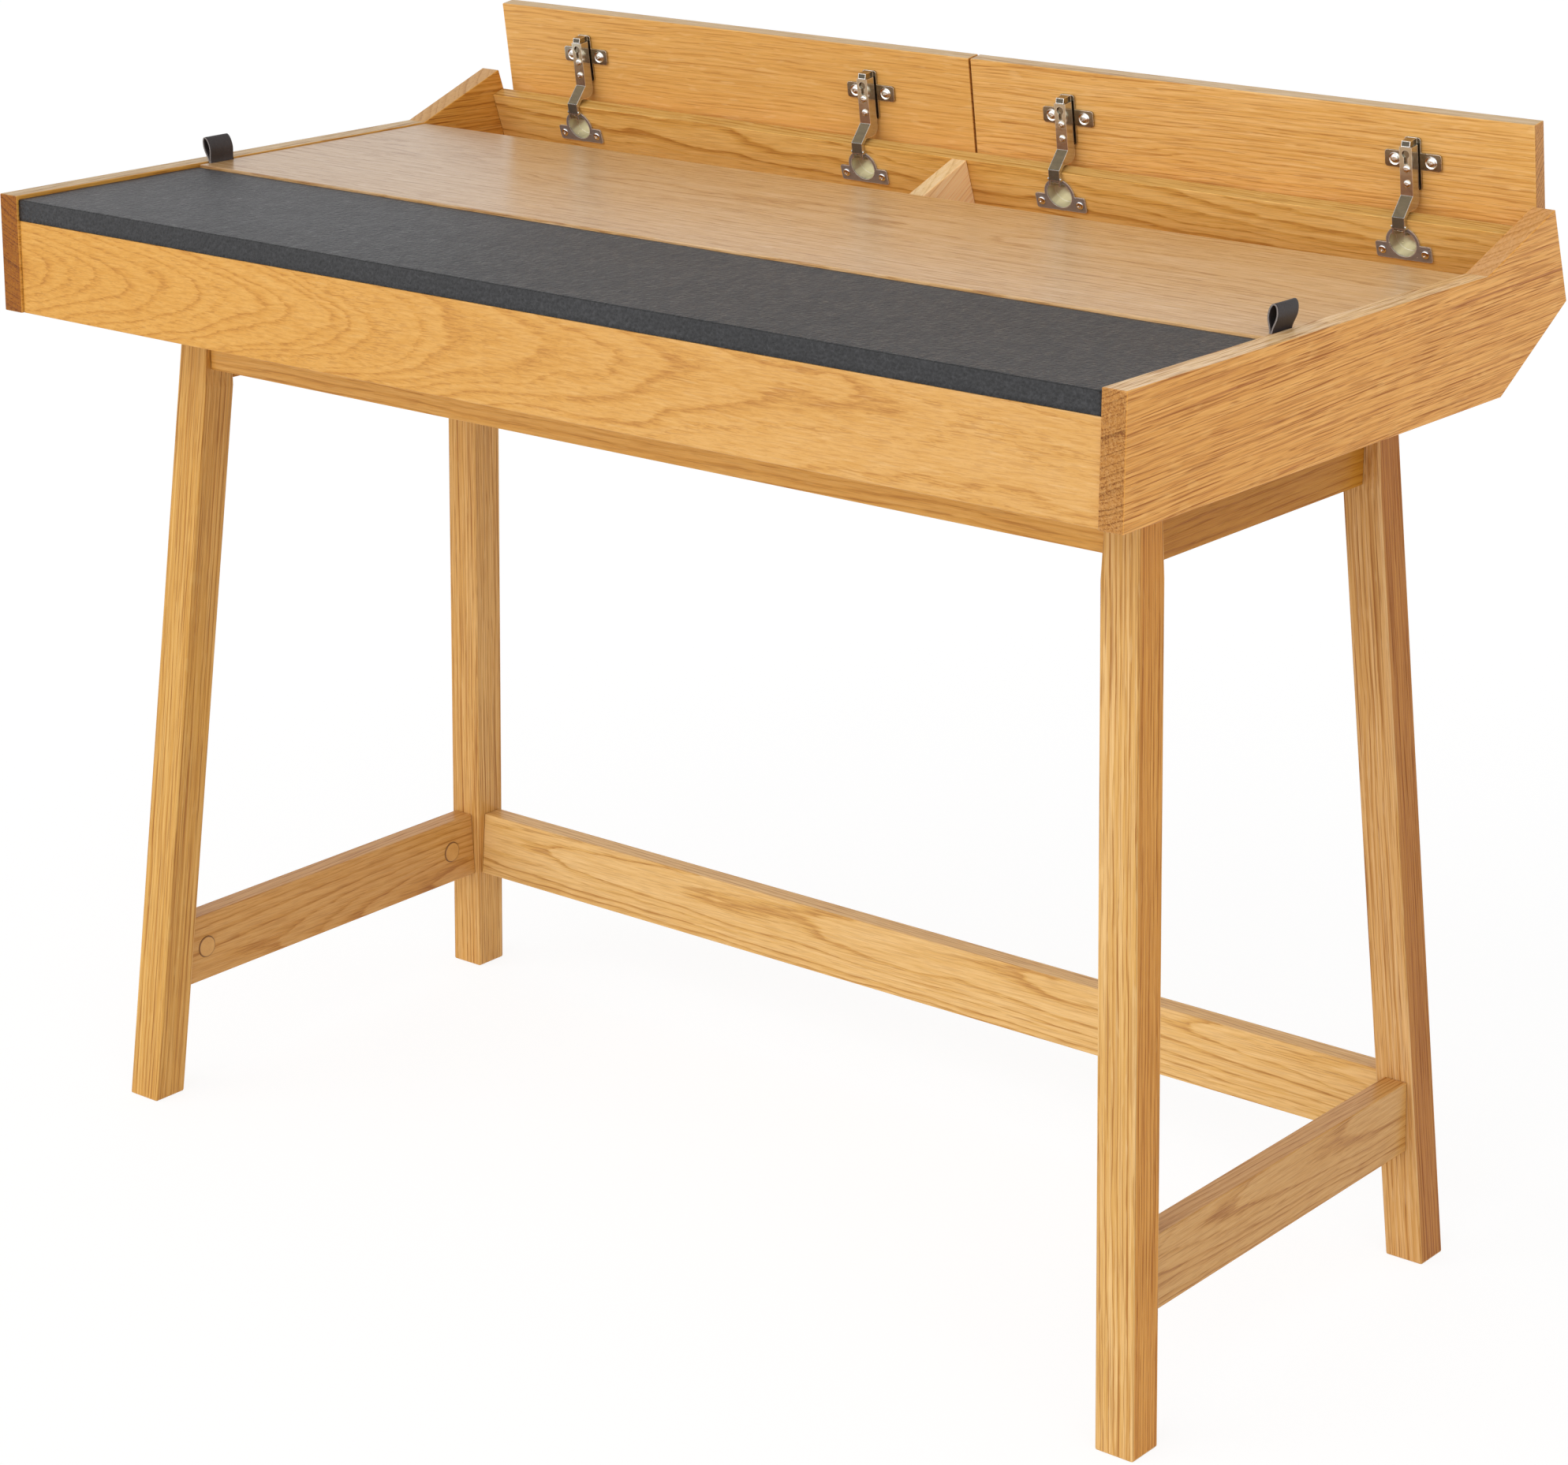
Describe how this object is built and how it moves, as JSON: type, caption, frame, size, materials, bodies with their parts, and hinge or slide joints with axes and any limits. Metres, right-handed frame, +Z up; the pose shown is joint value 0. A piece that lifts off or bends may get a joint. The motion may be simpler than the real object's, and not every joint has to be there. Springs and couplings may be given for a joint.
{
  "type": "writing_desk",
  "caption": "Oak writing desk with a leather-covered writing board, a lift-up lid with leather pull tabs and a rear trough under two hinged flaps, on splayed legs",
  "frame": {"origin": "on the floor under the middle of the desk's bounding box", "axes": "+X to the right across the width as the person sits, +Y from the front edge to the back, +Z up"},
  "size_m": [1.1, 0.6131, 0.9124],
  "materials": {
    "oak": "satin lacquered oak",
    "oak_veneer": "satin lacquered oak veneer",
    "leather": "finely pebbled charcoal leather",
    "tab_leather": "smooth brown-black strap leather",
    "nickel": "nickel-plated pressed steel",
    "plug": "flat tan cover caps"
  },
  "bodies": {
    "desk": {"side_panel_left": "oak", "side_panel_right": "oak", "front_fascia": "oak", "bottom_panel": "oak", "trough_floor": "oak", "trough_rail": "oak", "board_rail": "oak", "trough_divider": "oak", "back_panel": "oak", "writing_board": "oak", "leather_cover": "leather", "lid_pin_left": "nickel", "lid_pin_right": "nickel", "lid_cleat_left": "oak", "lid_cleat_right": "oak", "hinge_cup_1": "nickel", "hinge_cup_2": "nickel", "hinge_cup_3": "nickel", "hinge_cup_4": "nickel", "hinge_pin_1": "nickel", "hinge_pin_2": "nickel", "hinge_pin_3": "nickel", "hinge_pin_4": "nickel", "leg_front_left": "oak", "leg_front_right": "oak", "leg_rear_left": "oak", "leg_rear_right": "oak", "apron_front": "oak", "apron_rear": "oak", "apron_left": "oak", "apron_right": "oak", "stretcher_left": "oak", "stretcher_right": "oak", "stretcher_rear": "oak", "plug_left_front": "plug", "plug_left_rear": "plug", "plug_right_front": "plug", "plug_right_rear": "plug"},
    "lid": {"lid": "oak_veneer", "pull_tab_left": "tab_leather", "pull_tab_right": "tab_leather"},
    "flap_left": {"flap_left": "oak", "hinge_arm_1": "nickel", "hinge_arm_2": "nickel", "hinge_plate_1": "nickel", "hinge_plate_2": "nickel"},
    "flap_right": {"flap_right": "oak", "hinge_arm_3": "nickel", "hinge_arm_4": "nickel", "hinge_plate_3": "nickel", "hinge_plate_4": "nickel"}
  },
  "joints": [
    {"name": "lid_hinge", "type": "hinge", "parent": "desk", "child": "lid", "pos_m": [0, 0.16839, 0.807], "axis": [-1, 0, 0], "range_deg": [0, 80]},
    {"name": "flap_left_hinge", "type": "hinge", "parent": "desk", "child": "flap_left", "pos_m": [0, 0.2749, 0.81606], "axis": [1, 0, 0], "range_deg": [0, 101]},
    {"name": "flap_right_hinge", "type": "hinge", "parent": "desk", "child": "flap_right", "pos_m": [0, 0.2749, 0.81606], "axis": [1, 0, 0], "range_deg": [0, 101]}
  ]
}
